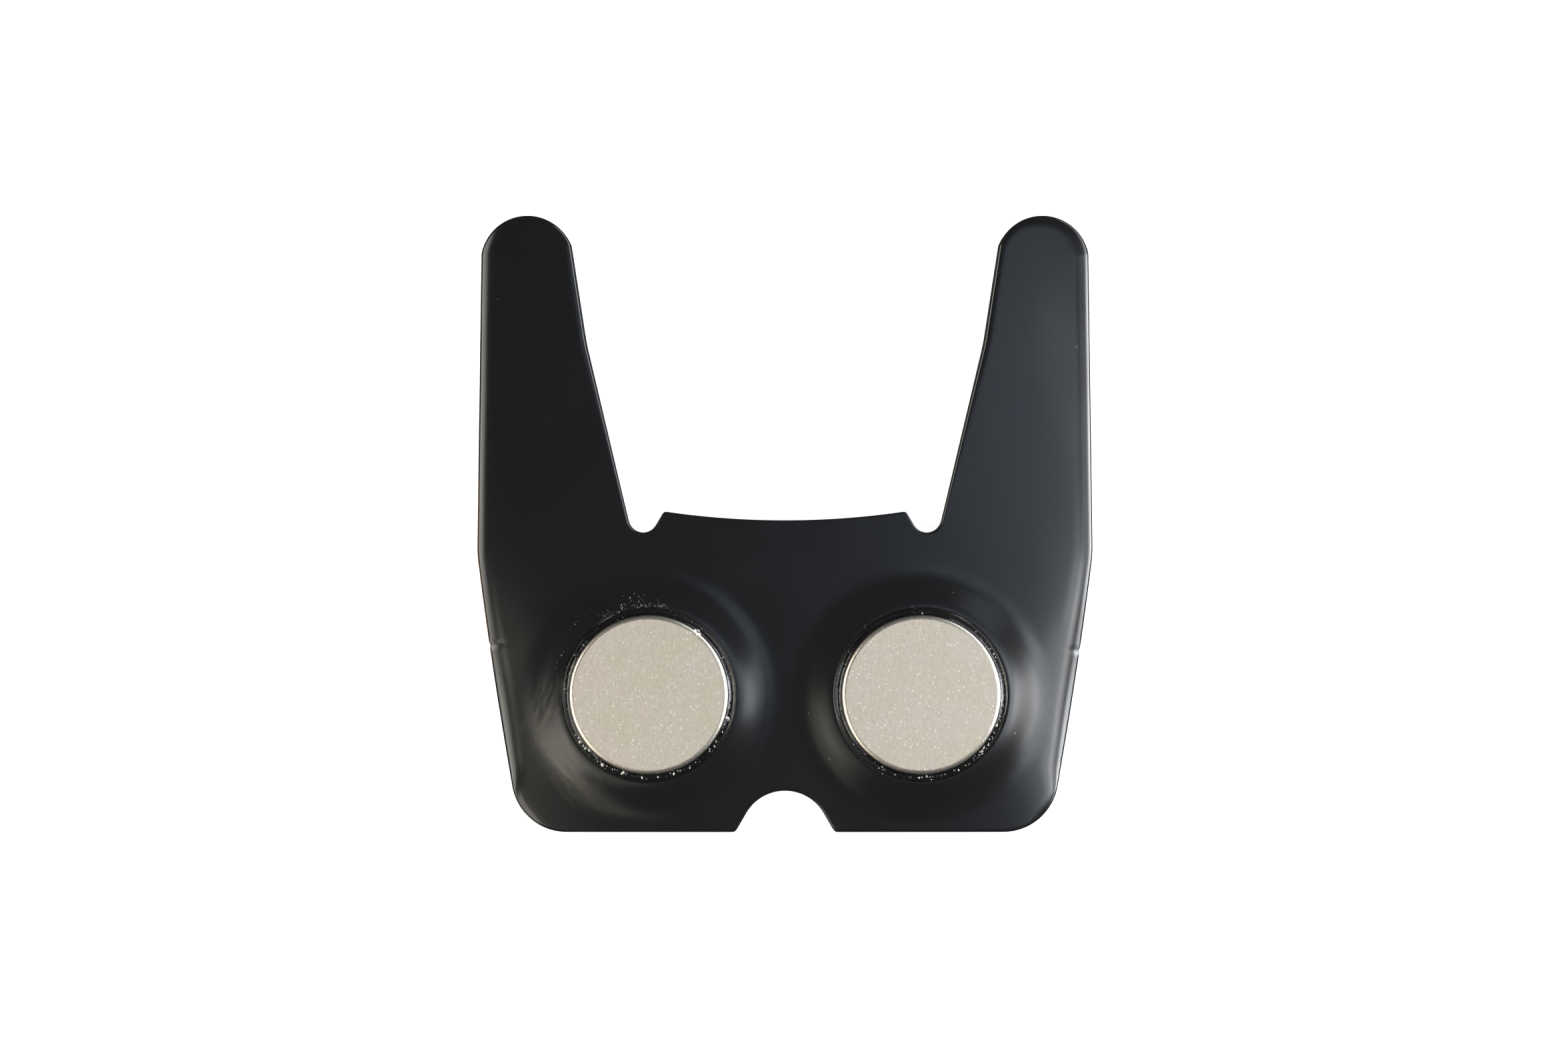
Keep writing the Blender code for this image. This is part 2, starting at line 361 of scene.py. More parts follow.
def rightHalf():
    # stretches from the middle of the tab to the middle of the notch, each with its edge rounding
    p = plate
    rise = p["tabCorner"][1] - p["tabMiddle"]
    tabRadius = (p["tabCorner"][0] ** 2 + rise ** 2) / (2 * rise)
    sweep = np.degrees(np.arcsin(p["tabCorner"][0] / tabRadius))
    # the tab's arc ends 0.6 degrees short of its corner, where the corner's own arc takes over
    tab = arcPoints((0, p["tabMiddle"] + tabRadius), tabRadius, -90, sweep - 90.6)
    tip = arcPoints(p["tipCentre"], p["tipRadius"], *p["tipAngles"])
    innerTip = len(tip) // 3
    notchApex = (0, p["notchApex"])
    shoulder = cornerArc(tip[-1], p["shoulder"], p["heel"], p["shoulderRadius"])
    heel = cornerArc(p["shoulder"], p["heel"], p["notchFoot"], p["heelRadius"])
    side = bowedLine(shoulder[-1], heel[0], p["sideBow"])
    notch = cornerArc(p["notchFoot"], notchApex, (-p["notchFoot"][0], 0), p["notchRadius"])
    return [
        (tab, p["tabEdge"]),
        (cornerArc(tab[-1], p["tabCorner"], p["reliefApex"], p["tabRadius"]), p["tabEdge"]),
        (cornerArc(p["tabCorner"], p["reliefApex"], p["prongBend"], p["reliefRadius"]), p["reliefEdge"]),
        (cornerArc(p["reliefApex"], p["prongBend"], tip[0], p["prongBendRadius"]), p["prongEdge"]),
        (tip[:innerTip], p["prongEdge"]),
        (tip[innerTip:-innerTip // 2], p["tipEdge"]),
        (tip[-innerTip // 2:], p["sideEdge"]),
        (shoulder, p["sideEdge"]),
        (side, p["sideEdge"]),
        (heel[:len(heel) * 2 // 3], p["heelEdge"]),
        (heel[len(heel) * 2 // 3:], p["baseEdge"]),
        (cornerArc(p["heel"], p["notchFoot"], notchApex, p["notchFootRadius"]), p["notchEdge"]),
        (notch[notch[:, 0] > 0], p["notchEdge"]),
    ]


def smoothLoop(values, reach):
    # running mean round a closed loop, over reach points each way
    kernel = np.ones(2 * reach + 1) / (2 * reach + 1)
    padded = np.concatenate([values[-reach:], values, values[:reach]])
    return np.convolve(padded, kernel, mode="valid")


def plateOutline():
    # the closed outline, evenly spaced, with its inward directions and the shape of its front edge
    stretches = rightHalf()
    points = np.concatenate([part for part, _ in stretches])
    shape = np.concatenate([np.tile(values, (len(part), 1)) for part, values in stretches])
    points = np.concatenate([points, points[::-1] * (-1, 1)])
    shape = np.concatenate([shape, shape[::-1]])
    closed = np.vstack([points, points[:1]])
    travelled = np.concatenate([[0], np.cumsum(np.linalg.norm(np.diff(closed, axis=0), axis=1))])
    count = int(travelled[-1] / plate["spacing"])
    stations = np.linspace(0, travelled[-1], count, endpoint=False)
    even = np.column_stack([np.interp(stations, travelled, closed[:, axis]) for axis in (0, 1)])
    first, second = plate["edgeSmoothing"]
    roll, width, slope = (
        smoothLoop(smoothLoop(np.interp(stations, travelled, column), first), second)
        for column in np.vstack([shape, shape[:1]]).T
    )
    ahead = np.roll(even, -1, axis=0) - np.roll(even, 1, axis=0)
    inward = np.column_stack([ahead[:, 1], -ahead[:, 0]]) / np.linalg.norm(ahead, axis=1)[:, None]
    eased = np.column_stack([smoothLoop(column, plate["inwardSmoothing"]) for column in inward.T])
    eased /= np.linalg.norm(eased, axis=1)[:, None]
    for nick in plate["nicks"]:
        away = np.linalg.norm(even - nick, axis=1)
        pinch = np.exp(-(away / plate["nickSize"]) ** 2)
        beside = np.exp(-(away / plate["nickSize"] / plate["nickSpread"]) ** 2)
        roll = roll * (1 - plate["nickSharpening"] * beside)
        even = even + inward * (plate["nickDepth"] * pinch)[:, None]
    return even, inward, eased, roll, np.maximum(width, roll + plate["leastFall"]), slope


def bossHeight(x, h):
    # each boss: full rise at the crest, then a flank that falls fast and eases out to the toe,
    # and stands a little lower towards the middle of the plate
    p = plate
    total = np.zeros(np.broadcast(x, h).shape)
    for centre in bossCentres.values():
        across, up = x - centre[0], h - (centre[1] - plateLow[1])
        radius = np.maximum(np.hypot(across, up), 0.001)
        share = np.clip((radius - p["crestRadius"]) / (p["toeRadius"] - p["crestRadius"]), 0, 1)
        inner = np.clip(-np.sign(centre[0]) * across / radius, 0, 1) ** p["inwardPower"]
        lost = p["inwardLoss"] * inner * np.clip((radius - p["inwardStart"]) / p["inwardWidth"], 0, 1)
        total += (p["rise"] - lost) * (1 - share) ** 3 * (1 + 3 * share)
    return np.minimum(total, p["rise"])


def frontHeight(x, h):
    # sheet thickness and bosses, less the falls of the outer sides and of the skirt beside the bosses,
    # with a slight unevenness that stays below the full height
    p = plate
    fall = p["crown"] * (np.abs(x) / plateHigh[0]) ** p["crownPower"]
    out = (np.abs(x) - p["skirtStart"]) / (plateHigh[0] - p["skirtStart"])
    out = np.clip(out, 0, p["skirtLimit"])
    fall += p["skirt"] * out ** 2 * np.exp(-((h - p["skirtHeight"]) / p["skirtReach"]) ** 2)
    ripple = p["unevenness"] * waves(np.stack([x, h], axis=-1), p["waveSeed"], *p["waveLengths"])
    return p["sheet"] + bossHeight(x, h) - fall + ripple - 2 * p["unevenness"]


def fillFlat(loops, holes, heightOf, start, faceUp):
    # a flat region between an outline and round holes: a staggered lattice inside, joined by
    # constrained Delaunay triangles; gives the new points and the triangles' vertex numbers
    outer = loops[0][0]
    step = plate["lattice"]
    rowStep, holeGap, rimGap, blocks = 0.866, 0.6, 0.55, 40  # in steps; blocks keep the distances small
    low, high = outer.min(axis=0), outer.max(axis=0)
    x, h = np.meshgrid(np.arange(low[0], high[0], step), np.arange(low[1], high[1], step * rowStep))
    x[1::2] += step / 2
    lattice = np.column_stack([x.ravel(), h.ravel()])
    for centre, radius in holes:
        lattice = lattice[np.hypot(*(lattice - centre).T) > radius + step * holeGap]
    nearest = np.concatenate([
        np.sqrt(((block[:, None] - outer[None]) ** 2).sum(axis=-1).min(axis=1))
        for block in np.array_split(lattice, blocks)
    ])
    lattice = lattice[nearest > step * rimGap]
    flat = np.concatenate([points for points, _ in loops] + [lattice])
    numbers = np.concatenate([known for _, known in loops] + [start + np.arange(len(lattice))])
    edges, first = [], 0
    for points, _ in loops:
        ring = first + np.arange(len(points))
        edges += np.column_stack([ring, np.roll(ring, -1)]).tolist()
        first += len(points)
    boundary = [list(range(len(outer)))]
    cut = delaunay_2d_cdt([Vector(p) for p in flat.tolist()], edges, boundary, 1, 1e-6)
    origin = np.array([known[0] for known in cut[3]])
    triangles = origin[np.array(cut[2])]
    corners = flat[triangles]
    middles = corners.mean(axis=1)
    for centre, radius in holes:
        away = np.hypot(*(middles - centre).T) > radius
        triangles, corners, middles = triangles[away], corners[away], middles[away]
    sides = corners[:, 1:] - corners[:, :1]
    turn = sides[:, 0, 0] * sides[:, 1, 1] - sides[:, 0, 1] * sides[:, 1, 0]
    flip = (turn > 0) != faceUp
    triangles[flip] = triangles[flip][:, ::-1]
    used = np.zeros(len(flat), bool)
    used[triangles.ravel()] = True
    kept = np.flatnonzero(used[len(flat) - len(lattice):]) + len(flat) - len(lattice)
    numbers[kept] = start + np.arange(len(kept))
    fresh = flat[kept]
    return np.column_stack([fresh, heightOf(*fresh.T)]), numbers[triangles]


def forkPlate(material):
    # rim: a rounded profile carried along the outline; bosses: turned grids; faces: filled lattices
    p = plate
    outline, inward, eased, roll, width, slope = plateOutline()
    turn = np.linspace(0, np.pi / 2, p["rollSteps"] + 1)[:, None]
    onward = np.linspace(0, 1, p["fallSteps"] + 1)[1:, None] ** p["fallSpread"]
    inset = np.vstack([roll * (1 - np.cos(turn)), roll + (width - roll) * onward])
    near = np.minimum(inset, roll)
    flat = outline + inward * near[..., None] + eased * (inset - near)[..., None]
    power = p["fallPower"]
    fall = slope * width / power * np.clip(1 - inset / width, 0, 1) ** power
    rounding = np.vstack([roll * (1 - np.sin(turn)), 0 * onward + 0 * roll])
    height = frontHeight(flat[..., 0], flat[..., 1]) - fall - rounding
    backTurn = np.linspace(0, np.pi / 2, p["backSteps"] + 1)[:, None]
    wall = np.linspace(0, 1, p["wallSteps"] + 2)[1:-1, None]
    below = np.vstack([p["backEdge"] * (1 - np.cos(backTurn)) + 0 * roll,
                       p["backEdge"] + (height[0] - p["backEdge"]) * wall])
    backInset = np.vstack([p["backEdge"] * (1 - np.sin(backTurn)) + 0 * roll, 0 * wall + 0 * roll])
    flat = np.concatenate([outline + inward * backInset[..., None], flat])
    rim = np.concatenate([flat, np.vstack([below, height])[..., None]], axis=-1)
    edge = np.vstack([np.full_like(below, p["wallWear"]), np.cos(turn) + 0 * roll, 0 * onward + 0 * roll])
    points, edges = [rim.reshape(-1, 3)], [edge.ravel()]
    numbers = np.arange(rim[..., 0].size).reshape(rim.shape[:2])
    faces = [gridFaces(numbers)]
    total = numbers.size
    frontLoops, backLoops, holes = [(rim[-1, :, :2], numbers[-1])], [(rim[0, :, :2], numbers[0])], []
    for centre in bossCentres.values():
        middle = centre - (0, plateLow[1])
        step = np.linspace(0, 1, p["ringSteps"])
        front = p["ringRadius"] + (p["seatRadius"] + p["seatEdge"] - p["ringRadius"]) * step
        breakTurn = np.linspace(0, np.pi / 2, p["seatSteps"] + 1)[1:]
        radii = np.concatenate([front, p["seatRadius"] + p["seatEdge"] * (1 - np.sin(breakTurn)),
                                [p["seatRadius"]] * p["seatSteps"], front[::-1]])
        grid = turnedGrid(middle, radii, np.zeros(len(radii)), p["ringCount"])
        frontZ = frontHeight(grid[..., 0], grid[..., 1])
        backZ = bossHeight(grid[..., 0], grid[..., 1])
        lipEnd = len(front) + p["seatSteps"]
        drop = np.zeros(len(radii))
        drop[len(front):lipEnd] = p["seatEdge"] * (1 - np.cos(breakTurn))
        seat = np.linspace(0, 1, p["seatSteps"] + 2)[1:-1]
        share = np.concatenate([np.zeros(lipEnd), seat, np.ones(len(front))])
        lip = frontZ - drop[:, None]
        lip[lipEnd:] = lip[lipEnd - 1]
        grid[..., 2] = lip * (1 - share[:, None]) + backZ * share[:, None]
        ring = total + np.arange(grid[..., 0].size).reshape(grid.shape[:2])
        faces.append(gridFaces(ring)[:, ::-1])
        points.append(grid.reshape(-1, 3))
        edges.append(np.zeros(ring.size))
        frontLoops.append((grid[0, :, :2], ring[0]))
        backLoops.append((grid[-1, :, :2], ring[-1]))
        holes.append((middle, p["ringRadius"]))
        total += ring.size
    for loops, heightOf, faceUp in ((frontLoops, frontHeight, True), (backLoops, bossHeight, False)):
        fresh, triangles = fillFlat(loops, holes, heightOf, total, faceUp)
        points.append(fresh)
        edges.append(np.zeros(len(fresh)))
        faces.append(triangles)
        total += len(fresh)
    placed = (np.concatenate(points) + (0, plateLow[1], plateLow[2])) * mm
    piece = makePiece("forkPlate", placed, faces, material, "black_paint", edge=np.concatenate(edges))
    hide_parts("fork_plate")


paint = {
    "color": (0.006, 0.006, 0.0065, 1.0), "roughness": 0.205,
    "peel": {"Size": 0.5, "Detail": 2.0}, "peelDepth": 0.0000009,
    "haze": {"Size": 5.0, "Detail": 3.0}, "hazeRoughness": 0.10,
    "hairs": {"Angle": 1.05, "Width": 0.07, "Length": 3.0, "Cover": 0.36},
    "hairRoughness": 0.05, "hairDepth": -0.0000004,
    "dust": {"Spacing": 1.3, "Radius": 0.06, "Share": 0.22},
    "dustColor": (0.20, 0.20, 0.19, 1.0), "dustRoughness": 0.4,
    # two smears on the lower left beside the left boss: their streaks add roughness, and their lighter warm
    # colour is a painted highlight of the light from the left
    "sheenSmears": (((-15.1, -12.2), 3.4, 1.25), ((-13.6, -15.6), 3.6, 2.3)),  # middle, reach, direction
    "sheenSmearHeight": 2.0, "smearSheenColor": (0.030, 0.026, 0.017, 1.0), "smearRoughness": 0.14,
    "rubbedSide": (-18.3, -11.5, 3.8),  # rubbed to the left of this x, between these two y
    "rubbedFade": (0.2, 1.5), "rubbedShare": 0.45,
    "worn": {"Start": 1.02, "Size": 0.5}, "wornColor": (0.16, 0.085, 0.045, 1.0),
}


def paintMaterial():
    # satin black paint: faint orange peel, patchy gloss, hair scratches, dust, two smears whose streaks
    # are real roughness and whose lighter warm colour is a painted highlight, and brown wear on the
    # roundings and along the left edge
    p = paint
    material, tree, shader, place = startMaterial("satinBlackPaint")
    peel = useGroup(tree, fineGrain, place, p["peel"])
    haze = useGroup(tree, fineGrain, place, p["haze"])
    dust = useGroup(tree, scatteredSpecks, place, p["dust"])
    hairs = useGroup(tree, hairScratches, place, p["hairs"])
    edge = addNode(tree, "Attribute", attribute_name="edge").outputs["Fac"]
    x, y = addNode(tree, "SeparateXYZ", {0: place}).outputs[:2]
    beyond, low, high = p["rubbedSide"]
    sideFade, endFade = p["rubbedFade"]
    outward = remap(tree, x, beyond - sideFade, beyond, 1.0, 0.0)
    along = maths(tree, "MULTIPLY", remap(tree, y, low, low + endFade, 0.0, 1.0),
                  remap(tree, y, high - endFade, high, 1.0, 0.0))
    left = maths(tree, "MULTIPLY", outward, along)
    rubbed = maths(tree, "MULTIPLY_ADD", left, p["rubbedShare"], edge)
    worn = useGroup(tree, edgeWear, place, {"Edge": rubbed, **p["worn"]})
    color, sheenSmeared = mixColor(tree, dust["Mask"], p["color"], p["dustColor"]), 0.0
    # each smear mixes in its lighter warm colour, which is a painted highlight, and adds roughness
    for middle, reach, direction in p["sheenSmears"]:
        shape = {"Centre": (*middle, p["sheenSmearHeight"]), "Reach": reach, "Angle": -direction}
        sheenSmear = useGroup(tree, sheenSmearPatch, place, shape)["Mask"]
        color = mixColor(tree, sheenSmear, color, p["smearSheenColor"])
        sheenSmeared = maths(tree, "MAXIMUM", sheenSmear, sheenSmeared)
    tree.links.new(mixColor(tree, worn["Mask"], color, p["wornColor"]), shader["Base Color"])
    rough = maths(tree, "MULTIPLY_ADD", haze["Shade"], p["hazeRoughness"], p["roughness"])
    rough = maths(tree, "MULTIPLY_ADD", hairs["Mask"], p["hairRoughness"], rough)
    rough = maths(tree, "MULTIPLY_ADD", dust["Mask"], p["dustRoughness"], rough)
    rough = maths(tree, "MULTIPLY_ADD", sheenSmeared, p["smearRoughness"], rough)
    tree.links.new(rough, shader["Roughness"])
    under = addBump(tree, shader, peel["Height"], p["peelDepth"])
    addBump(tree, shader, hairs["Mask"], p["hairDepth"], under)
    return material


forkPlate(paintMaterial())
print("fork plate made")


# the magnets: discs with a finely ground face and a bright rounded rim

magnet = {
    "edge": 0.26, "edgeSteps": 10, "faceSteps": 13, "rimGap": 0.02, "count": 256,
    "color": (0.555, 0.49, 0.416, 1.0), "tint": (0.535, 0.488, 0.382, 1.0),
    "sparkColor": (1.0, 0.98, 0.93, 1.0), "roughness": 0.62, "rimRoughness": 0.36,
    "grainStretch": (1.0, 0.3, 1.0), "grain": {"Size": 0.08, "Detail": 3.0},
    "grainContrast": 1.2, "grainShare": 0.22, "grainRoughness": 0.25, "grainDepth": 0.000003,
    "cloud": {"Size": 2.2, "Detail": 2.0}, "cloudLimits": (0.4, 0.65),  # noise values from color to tint
    "specks": {"Spacing": 0.2, "Radius": 0.06, "Share": 0.6}, "speckShare": 0.7,
    "hairs": {"Angle": 1.5, "Width": 0.03, "Length": 0.6, "Cover": 0.6}, "hairShare": 0.16,
}


def magnetPiece(side, material):
    # profile: flat face, quarter-round rim, wall, rim and back, turned about the boss's axis
    m = magnet
    low, high = magnetBoxes[side]
    centre = bossCentres[side]
    turn = np.linspace(0, np.pi / 2, m["edgeSteps"])
    inner = (high[0] - low[0]) / 2 - m["edge"]
    face = np.append(np.linspace(0, inner, m["faceSteps"] + 1)[1:-1], inner - m["rimGap"])
    radii = np.concatenate([face, inner + m["edge"] * np.sin(turn), inner + m["edge"] * np.cos(turn),
                            face[::-1]])
    heights = np.concatenate([0 * face + high[2], high[2] - m["edge"] * (1 - np.cos(turn)),
                              low[2] + m["edge"] * (1 - np.sin(turn)), 0 * face + low[2]])
    grid = turnedGrid(centre, radii, heights, m["count"])
    numbers = np.arange(grid[..., 0].size).reshape(grid.shape[:2])
    points = np.vstack([grid.reshape(-1, 3), [(*centre, high[2]), (*centre, low[2])]])
    faces = [gridFaces(numbers), fanFaces(numbers[0], numbers.size)[:, ::-1],
             fanFaces(numbers[-1], numbers.size + 1)]
    edge = np.zeros(len(points))
    rimRows = slice(len(face), len(face) + 2 * m["edgeSteps"])  # the rounded rims and the wall
    edge[:numbers.size].reshape(numbers.shape)[rimRows] = 1
    piece = makePiece(side + "MagnetDisc", points * mm, faces, material, "nickel_plate", edge=edge)
    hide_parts(side + "_magnet")


def nickelMaterial():
    # nickel plate: upright ground grain, faint clouds, bright specks and hairs, smoother on the rim
    m = magnet
    material, tree, shader, place = startMaterial("groundNickelPlate")
    grain = useGroup(tree, fineGrain, stretch(tree, place, m["grainStretch"]), m["grain"])
    cloud = useGroup(tree, fineGrain, place, m["cloud"])
    specks = useGroup(tree, scatteredSpecks, place, m["specks"])
    hairs = useGroup(tree, hairScratches, place, m["hairs"])
    edge = addNode(tree, "Attribute", attribute_name="edge").outputs["Fac"]
    clouded = remap(tree, cloud["Height"], *m["cloudLimits"], 0.0, 1.0)
    tinted = mixColor(tree, clouded, m["color"], m["tint"])
    lit = maths(tree, "MULTIPLY_ADD", grain["Shade"], m["grainContrast"], 0.5)
    ground = mixColor(tree, m["grainShare"], tinted, mixColor(tree, lit, tinted, (1.0, 1.0, 1.0, 1.0)))
    speckled = maths(tree, "MULTIPLY", specks["Mask"], m["speckShare"])
    streaked = maths(tree, "MAXIMUM", speckled, maths(tree, "MULTIPLY", hairs["Mask"], m["hairShare"]))
    tree.links.new(mixColor(tree, streaked, ground, m["sparkColor"]), shader["Base Color"])
    shader["Metallic"].default_value = 1.0
    rough = maths(tree, "MULTIPLY_ADD", grain["Shade"], m["grainRoughness"], m["roughness"])
    rough = maths(tree, "MULTIPLY_ADD", edge, m["rimRoughness"] - m["roughness"], rough)
    tree.links.new(rough, shader["Roughness"])
    addBump(tree, shader, grain["Height"], m["grainDepth"])
    return material


nickel = nickelMaterial()
for side in ("left", "right"):
    magnetPiece(side, nickel)
print("magnets made")


# the adhesive: a lumpy glossy ring round each magnet, its bed behind, and dried crumbs

adhesive = {
    "inner": 5.01, "outer": 5.44, "count": 900, "topSteps": 12, "bedSteps": 8, "wallSteps": 3,
    "sag": 0.20, "meniscus": 0.12,  # the top's depth below the crest, and its climb up both walls
    "outerWall": (0.08, 0.35),      # ends this far above the back and below the crest
    "innerWall": (0.5, 0.1),        # ends this far below the crest and above the bed
    "underMagnet": 0.03,
    "bedInset": 0.1, "bedMiddle": 2.5, "bedHub": 0.4,
    "swell": 0.02, "swellLengths": (1.5, 5.0),
    "lumps": 0.05, "lumpLengths": (0.14, 0.5), "lumpLevel": 0.7,
    "lumpAngle": 4.7, "lumpSpread": 1.4, "lumpLeast": 0.25,  # in radians: most lumps lie at the bottom
    "color": (0.005, 0.005, 0.005, 1.0), "roughness": 0.09,
    "wrinkle": {"Size": 0.2, "Detail": 3.0}, "wrinkleRoughness": 0.1, "wrinkleDepth": 0.000012,
    "dust": {"Spacing": 0.3, "Radius": 0.035, "Share": 0.12},
    "paleColor": (0.78, 0.77, 0.70, 1.0), "brownColor": (0.18, 0.06, 0.035, 1.0),
    "greyColor": (0.09, 0.09, 0.083, 1.0), "paleRoughness": 0.2,
    "toneLimits": (0.2, 0.5, 0.8),  # a crumb is brown, grey or pale above these
}


def adhesivePiece(side, seed, material):
    # cup turned about the boss's axis: the top hangs between its two walls, swells slowly round the ring,
    # and carries lumps where short waves peak, most of them at the bottom of the ring
    low, high = (np.array(c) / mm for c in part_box(side + "_adhesive"))
    centre = bossCentres[side]
    a = adhesive
    across = np.linspace(0, 1, a["topSteps"])
    top = a["outer"] + (a["inner"] - a["outer"]) * across
    bed = np.linspace(a["bedHub"], a["outer"] - a["bedInset"], a["bedSteps"])
    floor = magnetBoxes[side][0][2] - a["underMagnet"]
    hub = [a["inner"] - a["bedInset"], a["bedMiddle"], a["bedHub"]]
    radii = np.concatenate([bed, [a["outer"]] * a["wallSteps"], top, [a["inner"]] * a["wallSteps"], hub])
    outerWall = np.linspace(low[2] + a["outerWall"][0], bossCrest - a["outerWall"][1], a["wallSteps"])
    innerWall = np.linspace(bossCrest - a["innerWall"][0], floor + a["innerWall"][1], a["wallSteps"])
    base = np.concatenate([0 * bed + low[2], outerWall, 0 * top + bossCrest - a["sag"], innerWall,
                           [floor] * len(hub)])
    grid = turnedGrid(centre, radii, base, a["count"])
    angle = np.linspace(0, 2 * np.pi, a["count"], endpoint=False)
    topStart = len(bed) + a["wallSteps"]
    rows = slice(topStart, topStart + len(top))
    flatPlace = grid[rows, :, :2]
    hang = a["meniscus"] * (2 * across[:, None] - 1) ** 2
    swell = a["swell"] * waves(flatPlace, seed, *a["swellLengths"])
    bottom = np.exp(-((np.abs(angle - a["lumpAngle"])) / a["lumpSpread"]) ** 2)
    crowded = a["lumpLeast"] + (1 - a["lumpLeast"]) * bottom
    peaks = np.clip(waves(flatPlace, seed + 1, *a["lumpLengths"]) - a["lumpLevel"], 0, 2)
    peaks = peaks * np.sin(np.pi * across[:, None])
    grid[rows, :, 2] += hang + swell + a["lumps"] * peaks * crowded
    numbers = np.arange(grid[..., 0].size).reshape(grid.shape[:2])
    points = np.vstack([grid.reshape(-1, 3), [(*centre, low[2]), (*centre, floor)]])
    faces = [gridFaces(numbers)[:, ::-1], fanFaces(numbers[0], numbers.size),
             fanFaces(numbers[-1], numbers.size + 1)[:, ::-1]]
    piece = makePiece(side + "AdhesiveRing", points * mm, faces, material, "black_adhesive")
    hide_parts(side + "_adhesive")


crumbShape = {
    "rows": 3, "sides": 6, "push": 0.3, "pushLengths": (0.8, 2.5), "widths": (0.5, 1.4), "flatness": 0.7,
    "scatter": (-1.2, 2.0),                 # limits of the spread about a cluster's radius
    "lift": 0.2, "sunkInMagnet": 0.16,      # middle above its seat, in sizes; seat below the magnet's face
    "brown": 0.4, "grey": 0.6, "tinted": 0.75,  # the two tones that tint this share of a cluster
}

# clusters of crumbs round each magnet: count, from and to in degrees, radius and its spread,
# smallest and largest size, tone (the brown or grey one, otherwise the share of pale crumbs)
crumbs = {
    "left": [
        (34, 205, 248, 5.22, 0.10, 0.07, 0.20, 0.85), (22, 250, 300, 5.24, 0.10, 0.06, 0.17, 0.8),
        (26, 300, 352, 5.24, 0.10, 0.06, 0.16, 0.75), (16, 140, 205, 5.26, 0.10, 0.04, 0.11, 0.5),
        (12, 10, 60, 5.26, 0.10, 0.04, 0.10, 0.5), (1, 343, 344, 5.16, 0.01, 0.26, 0.28, 1.0),
        (130, 78, 124, 5.62, 0.20, 0.04, 0.13, 0.6), (30, 124, 175, 5.70, 0.35, 0.04, 0.08, 0.6),
        (10, 90, 110, 6.20, 0.20, 0.05, 0.10, 0.6), (13, 50, 56, 4.93, 0.09, 0.15, 0.26, 1.0),
    ],
    "right": [
        (38, 295, 345, 5.24, 0.11, 0.06, 0.15, 0.75), (14, 350, 373, 5.24, 0.08, 0.07, 0.15, 0.4),
        (16, 14, 50, 5.22, 0.09, 0.05, 0.13, 0.8), (18, 250, 295, 5.28, 0.12, 0.05, 0.12, 0.65),
        (18, 200, 250, 5.30, 0.12, 0.04, 0.10, 0.5), (12, 80, 130, 5.4, 0.2, 0.04, 0.08, 0.6),
        (1, 89, 91, 5.05, 0.01, 0.14, 0.16, 1.0),
    ],
}


def crumbPiece(side, seed, material):
    # small angular lumps: each is a coarse sphere's grid pushed in and out by waves
    luck = np.random.default_rng(seed)
    c = crumbShape
    columns = np.array(crumbs[side]).T
    count = columns[0].astype(int)
    first, last, middle, spread, small, large, tone = (np.repeat(column, count) for column in columns[1:])
    total = count.sum()
    angle = np.radians(luck.uniform(first, last))
    radius = middle + spread * np.clip(luck.normal(size=total), *c["scatter"])
    size = small + (large - small) * luck.random(total) ** 2
    centre = bossCentres[side] - (0, plateLow[1])
    x, h = centre[0] + radius * np.cos(angle), centre[1] + radius * np.sin(angle)
    inRing = (radius < plate["seatRadius"]) & (radius > adhesive["inner"])
    onMagnet = radius <= adhesive["inner"]
    seat = np.where(inRing, bossCrest - adhesive["sag"], frontHeight(x, h))
    seat = np.where(onMagnet, magnetBoxes[side][1][2] - c["sunkInMagnet"], seat)
    polar = np.linspace(0, np.pi, c["rows"] + 2)[1:-1, None]
    turn = np.linspace(0, 2 * np.pi, c["sides"], endpoint=False)
    ball = np.stack(np.broadcast_arrays(np.sin(polar) * np.cos(turn), np.sin(polar) * np.sin(turn),
                                        np.cos(polar)), axis=-1)
    ball = np.vstack([ball.reshape(-1, 3), [(0, 0, 1), (0, 0, -1)]])
    nearby = ball[None] + luck.uniform(0, 40, (total, 1, 3))
    push = 1 + c["push"] * waves(nearby, seed + 5, *c["pushLengths"])
    shape = luck.uniform(*c["widths"], (total, 1, 3)) * (1, 1, c["flatness"])
    blobs = ball[None] * push[..., None] * shape * size[:, None, None] / 2
    points = blobs + np.column_stack([x, h + plateLow[1], seat + size * c["lift"]])[:, None]
    grid = np.arange(c["rows"] * c["sides"]).reshape(c["rows"], c["sides"])
    caps = np.vstack([fanFaces(grid[0], grid.size)[:, ::-1], fanFaces(grid[-1], grid.size + 1)])
    offset = np.arange(total)[:, None, None] * len(ball)
    faces = [(gridFaces(grid) + offset).reshape(-1, 4), (caps + offset).reshape(-1, 3)]
    dusty = (tone == c["brown"]) | (tone == c["grey"])
    chosen = np.where(dusty, tone * (luck.random(total) < c["tinted"]), (luck.random(total) < tone) * 1.0)
    makePiece(side + "AdhesiveCrumbs", points * mm, faces, material, "black_adhesive", smooth=False,
              tone=np.repeat(chosen, len(ball)))


